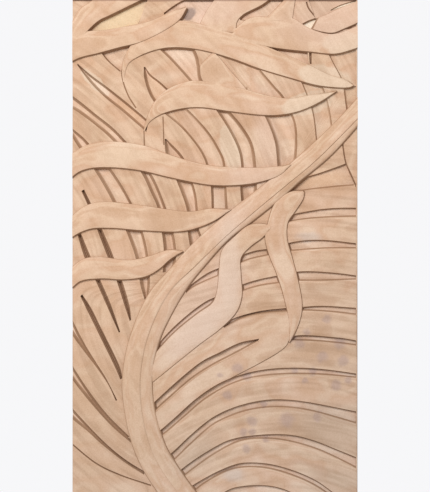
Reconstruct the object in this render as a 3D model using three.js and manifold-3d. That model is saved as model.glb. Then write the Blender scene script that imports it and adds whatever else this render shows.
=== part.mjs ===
// A sandstone wall panel with palm fronds carved in relief, one solid piece of stone.
//
// Frame: millimetres, +Z up, +X to the right as the carved face is seen. The carved face looks along -Y.
// The flat back lies in the plane y = 0, and the origin is the middle of the back.
// A level is the distance of a surface from the back, so a level L lies at y = -L.
import * as THREE from "three";
import Module from "manifold-3d";

// Driving dimensions of the slab
const PANEL_WIDTH = 570;
const PANEL_HEIGHT = 1000;
const BORDER_WIDTH = 3;

// Levels of the carving
const FIELD_LEVEL = 22;
const SLOT_FLOOR = 15.5;
const SHALLOW_FLOOR = 19;
const DEEP_FLOOR = 13;
const BURIED_LEVEL = 11;
const ABOVE_ALL = 40;

// A leaf that crosses over the fronds is tilted: its upper edge is sunk and its lower edge stands proud.
// Its walls spread towards their buried feet, by these widths under the left and the right edge.
const LEAF_UPPER = 25;
const LEAF_LOWER = 28;
const LEAF_CROWN = 1.2;
const LEAF_FEET = [1, 6];
const TIP_LEVEL = 22.3;

// Midrib of the large frond, with a ridge line along it and a small step down beside the ridge
const MIDRIB_LEFT = 26;
const MIDRIB_RIDGE = 30;
const MIDRIB_STEP = 1.2;
const MIDRIB_STEP_SHARE = 0.06;
const MIDRIB_RIGHT = 25.5;
const MIDRIB_FOOT = 6;

// Slots between the leaflets: how far the walls lean in, and the roll-off of the leaflet beside the slot
const WALL_LEAN = 1.8;
const SLOT_SHOULDER = 1.6;
const ROLL_CLEARANCE = 0.1;
const GROOVE_WIDTH = 3.6;
const GROOVE_FLOOR = 19.2;

// Spacing of the sections along a leaf or a slot
const SECTION_SPACING = 19;
const MOST_FLOOR_SHARE = 0.8;

const SANDSTONE = { color: 0xd9b58e, roughness: 0.85, metalness: 0 };

// Each leaf and slot below runs along its two edges, given as [x, z] points that a smooth curve passes
// through. left and right are the edges as they lie when one walks along it from its first point.

// Leaves raised over the fronds. from and to are the levels of the left and right edge at the two ends,
// and rise is the share of its length over which a leaf comes up out of the field.
const CROSSING_LEAVES = {
  topLeafStem: {
    left: [[-36, 433], [-30, 449], [-16, 477], [6, 507]],
    right: [[42, 429], [44, 453], [56, 467], [94, 487], [118, 505]],
    from: [23.5, 24],
    to: [24, 26.5],
  },
  topRightStalk: {
    left: [[94, 453], [106, 465], [134, 493], [146, 507]],
    right: [[154, 453], [158, 477], [162, 507]],
    from: [24, 24],
    to: [23, 24],
  },
  topRightLeaf: {
    left: [[30, 426], [42, 441], [70, 461], [120, 463], [154, 461], [190, 440], [236, 429], [290, 447]],
    right: [[30, 424], [70, 411], [120, 401], [190, 393], [240, 389], [270, 396], [290, 403]],
    from: [24, 24.5],
    to: [24.5, LEAF_LOWER],
  },
  cornerLeaf: {
    left: [[204, 461], [220, 467], [250, 481], [294, 499]],
    right: [[192, 439], [214, 433], [236, 431], [260, 440], [294, 455]],
    from: [24, 26],
    to: [24, 27],
  },
  longLeaf: {
    left: [[-184, 333], [-187, 357], [-182, 381], [-166, 409], [-130, 433], [-90, 453], [-54, 455],
      [-10, 443], [50, 425], [110, 401], [180, 371], [230, 347], [264, 337], [277, 328]],
    right: [[-182, 333], [-179, 353], [-172, 370], [-150, 385], [-114, 398], [-80, 402], [-30, 397],
      [30, 381], [90, 359], [150, 341], [210, 325], [250, 321], [270, 322], [277, 326]],
    rise: 0.16,
    from: [24.5, 25.5],
    to: [LEAF_UPPER, LEAF_LOWER],
  },
  forkedLeafUpper: {
    left: [[-298, 429], [-283, 459], [-270, 479], [-250, 493], [-230, 509]],
    right: [[-298, 381], [-274, 413], [-253, 437], [-234, 454], [-210, 466], [-170, 486], [-126, 507]],
    from: [24, 26],
    to: [25, 27.5],
  },
  forkedLeafLower: {
    left: [[-298, 417], [-262, 433], [-220, 437], [-180, 444], [-130, 455], [-94, 471], [-58, 484]],
    right: [[-298, 367], [-270, 381], [-234, 390], [-190, 402], [-150, 412], [-122, 424], [-100, 436],
      [-70, 458], [-56, 481]],
    from: [26, LEAF_LOWER],
    to: [24.5, 27],
  },
  hookedLeaf: {
    left: [[-143, 235], [-136, 263], [-120, 295], [-94, 319], [-50, 335], [-10, 333], [50, 321],
      [110, 305], [150, 300], [190, 307], [243, 316]],
    right: [[-141, 235], [-130, 253], [-110, 267], [-70, 279], [-30, 282], [30, 274], [90, 267],
      [130, 267], [170, 275], [210, 293], [243, 314]],
    rise: 0.14,
    from: [24.5, 26],
    to: [LEAF_UPPER, LEAF_LOWER],
  },
  upperBand: {
    left: [[-302, 177], [-284, 192], [-250, 209], [-210, 214], [-142, 206], [-86, 186], [-20, 168],
      [50, 162], [124, 164], [151, 169]],
    right: [[-302, 125], [-275, 151], [-250, 160], [-210, 162], [-150, 156], [-90, 142], [-10, 127],
      [50, 127], [94, 134], [130, 147], [152, 167]],
    from: [LEAF_UPPER, LEAF_LOWER],
    to: [27.5, 28.5],
  },
  middleBand: {
    left: [[-302, 49], [-283, 68], [-260, 85], [-230, 93], [-166, 89], [-98, 79], [-50, 74],
      [-10, 80], [32, 79]],
    right: [[-302, 5], [-283, 24], [-250, 39], [-210, 41], [-144, 36], [-70, 34], [-36, 41],
      [-4, 54], [32, 77]],
    from: [LEAF_UPPER, LEAF_LOWER],
    to: [26.5, 28],
  },
  lowerBand: {
    left: [[-302, -51], [-283, -34], [-261, -20], [-230, -17], [-170, -23], [-132, -15], [-90, -2],
      [-64, -4]],
    right: [[-302, -93], [-283, -76], [-268, -65], [-230, -60], [-180, -62], [-136, -55], [-110, -40],
      [-90, -22], [-64, -6]],
    from: [LEAF_UPPER, LEAF_LOWER],
    to: [26.5, 28],
  },
  innerCurl: {
    left: [[114, 41], [94, 21], [70, 3], [52, -19], [52, -53], [54, -93], [44, -125], [10, -161],
      [-30, -191], [-70, -223], [-110, -255], [-134, -275]],
    right: [[114, 45], [94, 50], [68, 47], [38, 23], [14, -3], [8, -43], [4, -83], [-4, -107],
      [-36, -131], [-80, -167], [-114, -203], [-130, -223]],
    from: [26.5, 26],
    to: [24.5, 24],
    feet: [6, 4],
  },
  outerCurl: {
    left: [[180, 114], [176, 99], [158, 71], [146, 53], [144, 21], [154, -17], [166, -63],
      [174, -109], [172, -135], [160, -169], [150, -187]],
    right: [[178, 116], [150, 113], [120, 91], [106, 53], [100, 21], [108, -13], [124, -53],
      [138, -99], [148, -147], [148, -187]],
    from: [26, 26.5],
    to: [25.5, 25.5],
    feet: [6, 4],
  },
};

// The midrib runs from the foot of the panel up to its right edge.
const MIDRIB = {
  left: [[-98, -513], [-146, -439], [-169, -383], [-183, -313], [-186, -265], [-178, -205], [-160, -146],
    [-131, -87], [-94, -44], [-48, 7], [0, 51], [58, 98], [148, 169], [236, 249], [298, 317]],
  ridge: [[-58, -513], [-115, -430], [-139, -367], [-150, -293], [-146, -223], [-128, -157], [-92, -87],
    [-40, -35], [20, 23], [80, 75], [140, 125], [200, 175], [298, 273]],
  right: [[-18, -513], [-73, -437], [-100, -390], [-121, -313], [-124, -249], [-110, -183], [-85, -129],
    [-55, -79], [-18, -33], [30, 19], [80, 57], [130, 97], [170, 133], [230, 183], [298, 257]],
};

// Leaflets that lie over their neighbours and are themselves cut by the slots
const LAPPED_LEAFLETS = {
  forkedLeaflet: {
    left: [[-138, -279], [-70, -221], [-30, -189], [10, -159], [50, -138], [94, -125], [148, -121]],
    right: [[-126, -379], [-80, -339], [-40, -303], [0, -275], [34, -258], [70, -239], [114, -215],
      [140, -197], [150, -179]],
    from: [22.5, 24.5],
    to: [23, 24.5],
  },
  lappedBlade: {
    left: [[8, 387], [26, 361], [50, 335], [70, 313]],
    right: [[2, 397], [-14, 383], [-30, 365], [-34, 341], [-30, 321]],
    from: [23.5, 23.5],
    to: [23.5, 23.5],
  },
};

// Slots cut down between the leaflets. lean is how far the left and right wall lean in, roll is how wide
// the right-hand leaflet rolls off into the slot, and top is that leaflet's level where it isn't the
// field's.
const SLOTS = {
  forkOfLeaf: {
    left: [[-258, 437], [-234, 457], [-190, 481], [-132, 503]],
    right: [[-258, 429], [-220, 431], [-180, 437], [-154, 447]],
  },
  underTop: {
    left: [[-102, 471], [-86, 483], [-66, 495], [-40, 502], [10, 503]],
    right: [[-102, 465], [-74, 447], [-30, 437], [0, 437]],
  },
  underTopLeaf: {
    left: [[50, 467], [70, 479], [94, 491], [114, 503]],
    right: [[50, 457], [80, 455], [110, 459], [142, 503]],
  },
  cornerHole: {
    left: [[168, 445], [186, 455], [208, 463]],
    right: [[168, 443], [182, 439], [198, 433]],
  },
  cornerSliver: {
    left: [[232, 479], [250, 488], [290, 500]],
    right: [[232, 475], [250, 481], [290, 494]],
  },
  besideTopRightLeaf: {
    left: [[114, 405], [150, 401], [185, 397]],
    right: [[114, 393], [150, 381], [187, 365]],
    lean: [0.5, 0.5],
  },
  smallSliver: {
    left: [[193, 397], [193, 369]],
    right: [[188, 397], [190, 369]],
  },
  underForkedLeaf: {
    left: [[-168, 405], [-176, 381], [-187, 355]],
    right: [[-232, 397], [-214, 375], [-190, 354]],
    lean: [2.5, 2.5],
  },
  hookHole: {
    left: [[-140, 363], [-130, 349], [-110, 333], [-84, 309]],
    right: [[-142, 363], [-141, 341], [-130, 307], [-116, 285]],
    lean: [3, 6],
  },
  leftFrond1: {
    left: [[-275, 369], [-250, 348], [-210, 318], [-166, 283], [-138, 259], [-132, 253]],
    right: [[-275, 367], [-250, 333], [-220, 303], [-190, 279], [-155, 249], [-137, 233]],
    lean: [3.5, 4.5],
  },
  leftFrond2: {
    left: [[-302, 313], [-283, 303], [-237, 267], [-198, 235], [-128, 149], [-100, 85], [-84, 33],
      [-78, -15], [-84, -44]],
    right: [[-302, 288], [-283, 279], [-234, 243], [-203, 215], [-148, 153], [-127, 110], [-115, 83],
      [-106, 33], [-102, -1], [-104, -48]],
    lean: [4.5, 6],
  },
  leftFrond3: {
    left: [[-294, 246], [-264, 222], [-251, 208], [-208, 158], [-184, 122], [-167, 91], [-145, 33],
      [-134, -17], [-131, -76], [-137, -104]],
    right: [[-294, 240], [-278, 211], [-240, 156], [-216, 115], [-204, 93], [-176, 32], [-158, -20],
      [-147, -80], [-139, -106]],
    lean: [5, 7],
  },
  leftFrond4: {
    left: [[-98, 219], [-86, 207], [-66, 185], [-52, 157], [-44, 129], [-38, 105], [-35, 77],
      [-32, 37], [-24, 19]],
    right: [[-100, 219], [-98, 191], [-77, 137], [-66, 109], [-56, 77], [-54, 33], [-50, 5]],
    lean: [4, 8],
  },
  leftFrond5: {
    left: [[-70, 289], [-52, 275], [-30, 253], [-10, 229], [6, 203], [18, 177], [22, 125], [25, 77]],
    right: [[-114, 281], [-94, 265], [-66, 241], [-46, 219], [-28, 193], [-16, 165], [-8, 125], [-6, 77]],
    lean: [4.5, 4],
    floor: [SHALLOW_FLOOR, SLOT_FLOOR],
  },
  leftFrond6: {
    left: [[-46, 407], [-36, 387], [-31, 365], [-28, 341], [-6, 309], [32, 271], [54, 245], [74, 211],
      [82, 165], [83, 117], [78, 95]],
    right: [[-118, 405], [-90, 379], [-50, 335], [-22, 303], [4, 275], [28, 237], [46, 201], [53, 163],
      [51, 129], [53, 95]],
    lean: [6, 5],
  },
  leftFrond7: {
    left: [[80, 369], [120, 323], [136, 305], [154, 271], [162, 247], [164, 217], [162, 181], [158, 157]],
    right: [[-6, 397], [10, 381], [50, 335], [86, 289], [102, 261], [112, 237], [120, 213], [126, 161]],
    lean: [4, 8],
    floor: [SHALLOW_FLOOR, SLOT_FLOOR],
  },
  leftFrond8: {
    left: [[214, 327], [224, 299], [232, 261], [236, 229]],
    right: [[172, 335], [184, 305], [194, 277], [202, 219], [203, 197]],
    lean: [4, 2.5],
    floor: [SHALLOW_FLOOR, SHALLOW_FLOOR],
  },
  leftFrond9: {
    left: [[292, 325], [292, 268]],
    right: [[257, 325], [262, 281], [264, 268]],
    lean: [1, 4],
    floor: [SHALLOW_FLOOR, SHALLOW_FLOOR],
  },
  leftEdge1: {
    left: [[-262, 118], [-248, 89], [-225, 35], [-204, -15], [-186, -65], [-172, -113], [-168, -143]],
    right: [[-267, 115], [-255, 89], [-234, 35], [-215, -15], [-196, -65], [-182, -109], [-170, -145]],
    lean: [4, 3.5],
    floor: [DEEP_FLOOR, DEEP_FLOOR],
  },
  leftEdge2: {
    left: [[-281, 62], [-269, 31], [-249, -18], [-229, -65], [-210, -109], [-200, -137], [-190, -167]],
    right: [[-286, 60], [-275, 29], [-260, -19], [-238, -65], [-222, -101], [-210, -127], [-192, -168]],
    lean: [4, 3.5],
    floor: [DEEP_FLOOR, DEEP_FLOOR],
  },
  leftEdge3: {
    left: [[-266, -92], [-249, -118], [-229, -158], [-208, -199], [-190, -239], [-185, -259]],
    right: [[-269, -95], [-256, -121], [-237, -161], [-217, -201], [-198, -241], [-189, -262]],
    lean: [3, 3],
    floor: [DEEP_FLOOR, DEEP_FLOOR],
  },
  leftEdge4: {
    left: [[-292, -131], [-283, -149], [-261, -191], [-239, -227], [-221, -255], [-196, -303]],
    right: [[-292, -161], [-283, -176], [-254, -215], [-233, -243], [-215, -269], [-198, -305]],
    lean: [5, 6],
  },
  leftEdge5: {
    left: [[-292, -225], [-283, -239], [-249, -290], [-215, -333], [-190, -359], [-172, -376]],
    right: [[-292, -252], [-283, -265], [-246, -311], [-206, -355], [-179, -379], [-168, -388]],
    lean: [5, 5],
  },
  leftEdge6: {
    left: [[-292, -312], [-283, -323], [-249, -360], [-218, -391], [-179, -423], [-140, -447]],
    right: [[-292, -332], [-283, -342], [-252, -367], [-231, -387], [-204, -409], [-179, -428], [-142, -452]],
    lean: [4.5, 5],
  },
  underMidrib: {
    left: [[150, 132], [176, 141], [210, 151], [250, 165], [262, 170]],
    right: [[138, 105], [170, 115], [210, 121], [250, 125], [278, 127]],
    roll: 4,
  },
  rightFrond1: {
    left: [[136, 58], [160, 69], [180, 73], [210, 78], [250, 81], [292, 81]],
    right: [[136, 51], [164, 57], [210, 62], [250, 64], [292, 65]],
    roll: 6,
  },
  rightFrond2: {
    left: [[126, 5], [164, 14], [210, 17], [250, 14], [292, 9]],
    right: [[126, -6], [170, -3], [230, 1], [292, 1]],
    roll: 6,
  },
  rightFrond3: {
    left: [[140, -50], [180, -46], [210, -47], [250, -50], [292, -56]],
    right: [[140, -63], [200, -64], [250, -63], [292, -61]],
    roll: 6,
  },
  rightFrond4: {
    left: [[156, -120], [190, -116], [210, -115], [250, -117], [292, -120]],
    right: [[156, -123], [200, -124], [240, -127], [292, -133]],
    roll: 6,
  },
  rightFrond5: {
    left: [[150, -177], [170, -174], [210, -175], [250, -179], [292, -186]],
    right: [[150, -183], [190, -184], [250, -189], [292, -195]],
    roll: 8,
  },
  rightFrond6: {
    left: [[-126, -375], [-108, -363], [-80, -339], [-40, -303], [0, -275], [34, -259], [84, -245],
      [140, -239], [210, -241], [292, -252]],
    right: [[-122, -385], [-100, -369], [-60, -335], [-20, -301], [40, -268], [100, -254], [194, -251],
      [292, -259]],
    roll: 12,
  },
  rightFrond7: {
    left: [[-100, -419], [-84, -407], [-50, -375], [-10, -342], [30, -321], [90, -305], [150, -303],
      [210, -312], [292, -328]],
    right: [[-92, -433], [-78, -419], [-40, -383], [0, -350], [60, -325], [120, -317], [180, -322],
      [240, -337], [292, -352]],
    roll: 12,
  },
  rightFrond8: {
    left: [[-86, -457], [-50, -429], [-10, -403], [30, -383], [90, -373], [150, -373], [194, -383],
      [250, -405], [292, -422]],
    right: [[-76, -466], [-40, -438], [0, -410], [50, -385], [94, -380], [140, -384], [200, -400],
      [260, -427], [292, -444]],
    roll: 12,
  },
  rightFrond9: {
    left: [[-62, -485], [-30, -465], [10, -444], [50, -430], [100, -430], [150, -442], [200, -463],
      [232, -485], [256, -505]],
    right: [[-52, -494], [-20, -469], [30, -443], [70, -437], [120, -443], [180, -464], [216, -484],
      [242, -505]],
    roll: 12,
  },
  rightFrond10: {
    left: [[8, -494], [34, -480], [70, -474], [110, -475], [146, -485], [168, -499]],
    right: [[10, -500], [90, -506], [166, -503]],
    roll: 2,
  },
  leafletFork: {
    left: [[-128, -315], [-116, -303], [-70, -261], [-30, -229], [10, -208], [50, -189], [88, -181]],
    right: [[-126, -329], [-86, -293], [-46, -259], [-6, -233], [40, -209], [86, -184]],
    roll: 4,
    top: 23.5,
  },
  aboveLeaflet: {
    left: [[14, -154], [34, -141], [60, -132], [90, -125], [154, -118]],
    right: [[18, -158], [56, -138], [94, -129], [154, -124]],
    roll: 3,
    top: 22.8,
  },
  betweenCurls1: {
    left: [[44, -17], [80, -5], [114, 0]],
    right: [[44, -31], [70, -21], [116, -11]],
    roll: 4,
  },
  betweenCurls2: {
    left: [[44, -76], [84, -63], [132, -53]],
    right: [[44, -88], [86, -75], [136, -67]],
    roll: 4,
  },
  besideMidrib1: {
    left: [[-58, -80], [-44, -70], [-14, -49], [14, -37]],
    right: [[-58, -88], [-44, -77], [-20, -65], [14, -51]],
    roll: 4,
  },
  besideMidrib2: {
    left: [[-126, -207], [-110, -187], [-90, -165], [-50, -129], [-16, -105], [2, -97]],
    right: [[-124, -219], [-110, -205], [-70, -169], [-30, -135], [6, -108]],
  },
};

// Shallow recesses: the ground behind the carving near the panel's edges
const SHALLOW_RECESSES = {
  topLeftCorner: {
    left: [[-288, 504], [-236, 504]],
    right: [[-288, 452], [-240, 490]],
  },
  topRightCorner: {
    left: [[184, 504], [288, 504]],
    right: [[206, 446], [220, 437], [288, 441]],
  },
  rightOfLongLeaf: {
    left: [[290, 412], [290, 326]],
    right: [[222, 400], [236, 371], [246, 353], [256, 333]],
  },
};

// Narrow grooves where one leaflet meets the next
const GROOVES = {
  leftOfHook: [[-187, 357], [-184, 335], [-173, 305], [-158, 281]],
  belowHook1: [[-104, 264], [-102, 207]],
  belowHook2: [[-142, 237], [-141, 200]],
  cornerBlade: [[183, 493], [187, 481], [201, 463]],
  farRightBlade: [[254, 218], [258, 193], [262, 171], [272, 148], [286, 116]],
  foot: [[-290, -388], [-261, -412], [-236, -431], [-190, -453], [-128, -474]],
};

const wasm = await Module();
wasm.setup();

// A smooth curve through [x, z] points, cut into equal steps.
function curvePoints(points, steps) {
  const knots = points.map(([x, z]) => new THREE.Vector3(x, 0, z));
  return new THREE.CatmullRomCurve3(knots).getSpacedPoints(steps);
}

function lengthOf(points) {
  return new THREE.CatmullRomCurve3(points.map(([x, z]) => new THREE.Vector3(x, 0, z))).getLength();
}

// The unit vector that points from the right edge to the left edge, square to the middle line.
function acrossAt(leftPoints, rightPoints, index) {
  const last = leftPoints.length - 1;
  const before = Math.max(index - 1, 0);
  const after = Math.min(index + 1, last);
  const middleBefore = leftPoints[before].clone().add(rightPoints[before]);
  const middleAfter = leftPoints[after].clone().add(rightPoints[after]);
  const along = middleAfter.sub(middleBefore).normalize();
  return new THREE.Vector3(-along.z, 0, along.x);
}

// A closed solid lofted through rings of points. Every ring has the same number of points, and flatRing is
// the first one laid flat, for its end cap.
function loftedSolid(rings, flatRing) {
  if (THREE.ShapeUtils.isClockWise(flatRing)) {
    flatRing.reverse();
    rings.forEach((ring) => ring.reverse());
  }
  const size = flatRing.length;
  const positions = rings.flat().flatMap((point) => [point.x, point.y, point.z]);
  const triangles = [];
  for (let start = 0; start < (rings.length - 1) * size; start += size) {
    for (let side = 0; side < size; side++) {
      const here = start + side;
      const next = start + ((side + 1) % size);
      triangles.push(here, next, next + size, here, next + size, here + size);
    }
  }
  const lastRing = (rings.length - 1) * size;
  for (const corners of THREE.ShapeUtils.triangulateShape(flatRing, [])) {
    const turned = THREE.ShapeUtils.isClockWise(corners.map((corner) => flatRing[corner]));
    const [a, b, c] = turned ? corners : corners.reverse();
    triangles.push(a, b, c, lastRing + a, lastRing + c, lastRing + b);
  }
  return solidFrom(positions, triangles);
}

function solidFrom(positions, triangles) {
  const mesh = new wasm.Mesh({
    numProp: 3,
    vertProperties: new Float32Array(positions),
    triVerts: new Uint32Array(triangles),
  });
  return new wasm.Manifold(mesh);
}

// A solid that follows two edges. section gives each cross-section as [side, offset, level] rows: side is
// 0 at the left edge and 1 at the right edge, and offset moves the point outwards to the left.
function ribbonSolid({ left, right }, section) {
  const steps = Math.max(3, Math.ceil(Math.max(lengthOf(left), lengthOf(right)) / SECTION_SPACING));
  const leftPoints = curvePoints(left, steps);
  const rightPoints = curvePoints(right, steps);
  let flatRing = null;
  const rings = leftPoints.map((leftPoint, index) => {
    const across = acrossAt(leftPoints, rightPoints, index);
    const width = leftPoint.distanceTo(rightPoints[index]);
    const rows = section(index / steps, width);
    flatRing ??= rows.map(([side, offset, level]) => new THREE.Vector2(offset - side * width, level));
    return rows.map(([side, offset, level]) => {
      const point = leftPoint.clone().lerp(rightPoints[index], side);
      return point.addScaledVector(across, offset).setY(-level);
    });
  });
  return loftedSolid(rings, flatRing);
}

// A raised leaf: buried sides and a tilted top with a slight crown.
function leafSolid(leaf) {
  const [footLeft, footRight] = leaf.feet ?? LEAF_FEET;
  return ribbonSolid(leaf, (along) => {
    const lift = leaf.rise ? Math.min(1, along / leaf.rise) : 1;
    const [leftLevel, rightLevel] = [0, 1].map((edge) => {
      const level = THREE.MathUtils.lerp(leaf.from[edge], leaf.to[edge], along);
      return THREE.MathUtils.lerp(TIP_LEVEL, level, lift);
    });
    return [
      [0, footLeft * lift, BURIED_LEVEL],
      [0, 0, leftLevel],
      [0.5, 0, (leftLevel + rightLevel) / 2 + lift * LEAF_CROWN],
      [1, 0, rightLevel],
      [1, -footRight * lift, BURIED_LEVEL],
    ];
  });
}

// The cutter of a slot, open towards the viewer.
function slotCutter(slot) {
  const [leanLeft, leanRight] = slot.lean ?? [WALL_LEAN, WALL_LEAN];
  const [floorStart, floorEnd] = slot.floor ?? [SLOT_FLOOR, SLOT_FLOOR];
  const roll = slot.roll ?? 0;
  const top = slot.top ?? FIELD_LEVEL;
  const shoulder = roll ? top - SLOT_SHOULDER : top;
  return ribbonSolid(slot, (along, width) => {
    const fit = Math.min(1, (MOST_FLOOR_SHARE * width) / (leanLeft + leanRight));
    const floor = THREE.MathUtils.lerp(floorStart, floorEnd, along);
    const rows = [
      [0, 0, ABOVE_ALL],
      [0, 0, top],
      [0, -leanLeft * fit, floor],
      [1, leanRight * fit, floor],
      [1, 0, shoulder],
    ];
    if (roll) rows.push([1, -roll, top + ROLL_CLEARANCE]);
    return [...rows, [1, -roll, ABOVE_ALL]];
  });
}

// A groove of even width along one line.
function grooveCutter(line) {
  const half = GROOVE_WIDTH / 2;
  return ribbonSolid({ left: line, right: line }, () => [
    [0, half, ABOVE_ALL],
    [0, half, FIELD_LEVEL],
    [0, 0, GROOVE_FLOOR],
    [0, -half, FIELD_LEVEL],
    [0, -half, ABOVE_ALL],
  ]);
}

// The midrib's section has a left face up to the ridge, a small step, and a right face.
function midribSolid() {
  const steps = Math.ceil(lengthOf(MIDRIB.ridge) / SECTION_SPACING);
  const [leftPoints, ridgePoints, rightPoints] = [MIDRIB.left, MIDRIB.ridge, MIDRIB.right].map((edge) =>
    curvePoints(edge, steps),
  );
  const rings = ridgePoints.map((ridge, index) => {
    const left = leftPoints[index];
    const right = rightPoints[index];
    const belowRidge = ridge.clone().lerp(right, MIDRIB_STEP_SHARE);
    const foot = right.clone().sub(ridge).setLength(MIDRIB_FOOT).add(right);
    return [
      left.clone().setY(-BURIED_LEVEL),
      left.clone().setY(-MIDRIB_LEFT),
      ridge.clone().setY(-MIDRIB_RIDGE),
      belowRidge.setY(-(MIDRIB_RIDGE - MIDRIB_STEP)),
      right.clone().setY(-MIDRIB_RIGHT),
      foot.setY(-BURIED_LEVEL),
    ];
  });
  const flatRing = rings[0].map((point) => new THREE.Vector2(-point.x, -point.y));
  return loftedSolid(rings, flatRing);
}

// A box from corner to corner, as a solid.
function boxSolid(width, levelLow, levelHigh, height) {
  const box = new THREE.BoxGeometry(width, levelHigh - levelLow, height);
  box.translate(0, -(levelLow + levelHigh) / 2, 0);
  const corners = box.attributes.position;
  const merged = new Map();
  const positions = [];
  const newIndex = Array.from({ length: corners.count }, (_, index) => {
    const corner = [corners.getX(index), corners.getY(index), corners.getZ(index)];
    const key = corner.join();
    if (!merged.has(key)) {
      merged.set(key, merged.size);
      positions.push(...corner);
    }
    return merged.get(key);
  });
  return solidFrom(positions, Array.from(box.index.array, (index) => newIndex[index]));
}

function joined(solids) {
  return solids.reduce((sum, solid) => sum.add(solid));
}

// The slots run out through the panel's left side, and stop at a narrow border on the other three sides.
function carvedPanel() {
  const innerHeight = PANEL_HEIGHT - 2 * BORDER_WIDTH;
  const slab = boxSolid(PANEL_WIDTH, 0, FIELD_LEVEL, PANEL_HEIGHT);
  const outline = boxSolid(PANEL_WIDTH, 0, ABOVE_ALL, PANEL_HEIGHT);
  const inside = boxSolid(PANEL_WIDTH, 0, 2 * ABOVE_ALL, innerHeight).translate([-BORDER_WIDTH, 0, 0]);

  const shallow = { floor: [SHALLOW_FLOOR, SHALLOW_FLOOR] };
  const recesses = Object.values(SHALLOW_RECESSES).map((recess) => slotCutter({ ...recess, ...shallow }));
  const cutters = [...Object.values(SLOTS).map(slotCutter), ...Object.values(GROOVES).map(grooveCutter)];
  const leaflets = Object.values(LAPPED_LEAFLETS).map(leafSolid);
  const leaves = Object.values(CROSSING_LEAVES).map(leafSolid);

  const ground = joined([slab, ...leaflets]).subtract(joined([...recesses, ...cutters]).intersect(inside));
  return joined([ground, midribSolid(), ...leaves]).intersect(outline);
}

function geometryOf(solid) {
  const mesh = solid.getMesh();
  const geometry = new THREE.BufferGeometry();
  geometry.setAttribute("position", new THREE.BufferAttribute(mesh.vertProperties, 3));
  geometry.setIndex(new THREE.BufferAttribute(mesh.triVerts, 1));
  geometry.computeVertexNormals();
  return geometry;
}

const panel = new THREE.Mesh(geometryOf(carvedPanel()), new THREE.MeshStandardMaterial(SANDSTONE));
panel.name = "relief_panel";

const root = new THREE.Group();
root.add(panel);

export default root;
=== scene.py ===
import math

import bmesh
import bpy
import numpy as np
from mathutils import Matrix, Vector, noise


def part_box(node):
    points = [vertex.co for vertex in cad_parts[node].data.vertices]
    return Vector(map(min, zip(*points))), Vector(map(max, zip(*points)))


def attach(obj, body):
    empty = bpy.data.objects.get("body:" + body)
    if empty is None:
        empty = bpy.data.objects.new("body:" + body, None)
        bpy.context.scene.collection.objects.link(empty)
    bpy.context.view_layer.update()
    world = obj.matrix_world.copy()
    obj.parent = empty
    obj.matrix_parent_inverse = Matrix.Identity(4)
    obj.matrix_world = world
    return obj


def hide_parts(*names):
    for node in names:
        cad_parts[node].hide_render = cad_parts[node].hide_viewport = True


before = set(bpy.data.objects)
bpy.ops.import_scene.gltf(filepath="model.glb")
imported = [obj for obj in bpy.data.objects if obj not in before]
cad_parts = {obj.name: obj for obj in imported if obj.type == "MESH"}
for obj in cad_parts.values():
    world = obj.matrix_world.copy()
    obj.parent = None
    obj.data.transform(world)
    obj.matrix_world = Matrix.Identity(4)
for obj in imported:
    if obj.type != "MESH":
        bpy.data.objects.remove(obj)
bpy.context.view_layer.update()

MM_PER_METRE = 1000

# The slab, read from the frame's own box
PANEL_LOW, PANEL_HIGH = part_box("relief_panel")
PANEL_WIDTH = PANEL_HIGH[0] - PANEL_LOW[0]
PANEL_HEIGHT = PANEL_HIGH[2] - PANEL_LOW[2]
TOP_LEVEL = -PANEL_LOW[1]
BORDER_WIDTH = 0.003

# Levels of the carving
FIELD_LEVEL = 0.022
SLOT_FLOOR = 0.0155
SHALLOW_FLOOR = 0.019
DEEP_FLOOR = 0.013
BURIED_LEVEL = 0.011
PLAIN_BACK = (0.0066, 0.0099)
ABOVE_ALL = 0.04

# A leaf that crosses over the fronds is tilted: its upper edge is sunk and its lower edge stands proud.
LEAF_UPPER = 0.025
LEAF_LOWER = 0.028
LEAF_CROWN = 0.0012
LEAF_FEET = (0.001, 0.006)
NO_RISE = 1e-6

# Midrib of the large frond, with a ridge line along it and a small step down beside the ridge. Shares are
# of the face's width, and a brink is where a worn edge begins and how much of the arris is gone there.
MIDRIB_LEFT = 0.026
MIDRIB_RIDGE = 0.0298
MIDRIB_STEP = 0.0013
MIDRIB_RIGHT = 0.0255
MIDRIB_FOOT = 0.006
LEFT_BRINK = (0.02, 0.3)
RISING_SHARES = (0.06, 0.25, 0.5, 0.75, 0.92)
STEP_SHARES = (0.03, 0.08)
STEP_START = 0.4
FALLING_SHARES = (0.12, 0.35, 0.6, 0.85)
RIGHT_BRINK = (0.97, 0.2)

# Slots between the leaflets. Their walls bend at a share of the depth and reach a little beyond the lean.
WALL_LEAN = 0.0018
WALL_BEND = 0.85
WALL_REACH = 1.1
SLOT_SHOULDER = 0.0016
ROLL_SHARES = (0.08, 0.25, 0.5, 0.75)
GROOVE_WIDTH = 0.0036
GROOVE_FLOOR = 0.0192
SHALLOW_GROOVE_FLOOR = 0.0206
GROOVE_SHOULDER = 0.4
MOST_WALL_SHARE = 0.8

# Fineness of the carved surface
SECTION_SPACING = 0.004
FIELD_SPACING = 0.006
CURVE_STEPS = 24
LEAF_SAMPLES = 8
ARRIS = 0.0009
ARRIS_STEPS = 3
ARRIS_LIP = 0.4
ARRIS_DIP = 0.25
SHARP_ANGLE = math.radians(40)
HAND_WAVE = 0.0005
WAVE_SCALE = 14.0

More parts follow.
